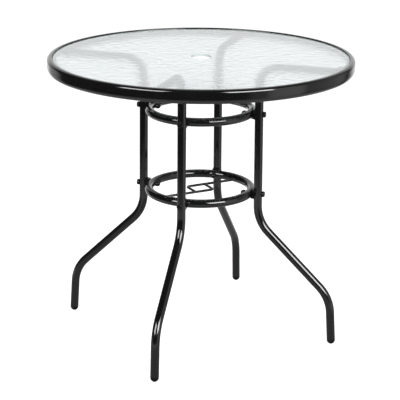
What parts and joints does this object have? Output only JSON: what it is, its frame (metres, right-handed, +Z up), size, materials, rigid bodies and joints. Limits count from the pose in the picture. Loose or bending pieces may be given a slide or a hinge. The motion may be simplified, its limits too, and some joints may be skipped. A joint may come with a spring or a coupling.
{
  "type": "umbrella table",
  "caption": "Round patio table with a water-textured glass top in a rolled steel rim, bent tube legs bolted to tube rings, an umbrella hole and a wire pole guide.",
  "frame": {"origin": "on the floor, under the centre of the top", "axes": "+Z up; +X to the leg at the picture's right, +Y to the leg at the back, -X to the left leg, -Y to the front leg"},
  "size_m": [0.762, 0.762, 0.727],
  "materials": {
    "powder_coat": "satin-gloss black powder coat on steel",
    "textured_glass": "clear tempered glass, rolled with a fine water-wave texture",
    "vinyl": "clear-grey soft strip",
    "black_plastic": "satin moulded plastic",
    "black_fasteners": "black coated steel",
    "zinc_steel": "zinc plated"
  },
  "bodies": {
    "root": {"rim_frame": "powder_coat", "glass_top": "textured_glass", "glass_gasket": "vinyl", "upper_ring": "powder_coat", "lower_ring": "powder_coat", "pole_guide_front": "powder_coat", "pole_guide_back": "powder_coat", "leg_right": "powder_coat", "leg_back": "powder_coat", "leg_left": "powder_coat", "leg_front": "powder_coat", "foot_right": "black_plastic", "foot_back": "black_plastic", "foot_left": "black_plastic", "foot_front": "black_plastic", "rim_tab_right": "powder_coat", "rim_tab_back": "powder_coat", "rim_tab_left": "powder_coat", "rim_tab_front": "powder_coat", "tab_nut_right": "zinc_steel", "tab_nut_back": "zinc_steel", "tab_nut_left": "zinc_steel", "tab_nut_front": "zinc_steel", "rim_bolt_right": "black_fasteners", "rim_bolt_back": "black_fasteners", "rim_bolt_left": "black_fasteners", "rim_bolt_front": "black_fasteners", "saddle_upper_right": "black_plastic", "saddle_upper_back": "black_plastic", "saddle_upper_left": "black_plastic", "saddle_upper_front": "black_plastic", "saddle_lower_right": "black_plastic", "saddle_lower_back": "black_plastic", "saddle_lower_left": "black_plastic", "saddle_lower_front": "black_plastic", "ring_bolt_upper_right": "black_fasteners", "ring_bolt_upper_back": "black_fasteners", "ring_bolt_upper_left": "black_fasteners", "ring_bolt_upper_front": "black_fasteners", "ring_bolt_lower_right": "black_fasteners", "ring_bolt_lower_back": "black_fasteners", "ring_bolt_lower_left": "black_fasteners", "ring_bolt_lower_front": "black_fasteners", "cap_nut_upper_right": "black_fasteners", "cap_nut_upper_back": "black_fasteners", "cap_nut_upper_left": "black_fasteners", "cap_nut_upper_front": "black_fasteners", "cap_nut_lower_right": "black_fasteners", "cap_nut_lower_back": "black_fasteners", "cap_nut_lower_left": "black_fasteners", "cap_nut_lower_front": "black_fasteners"}
  },
  "joints": []
}
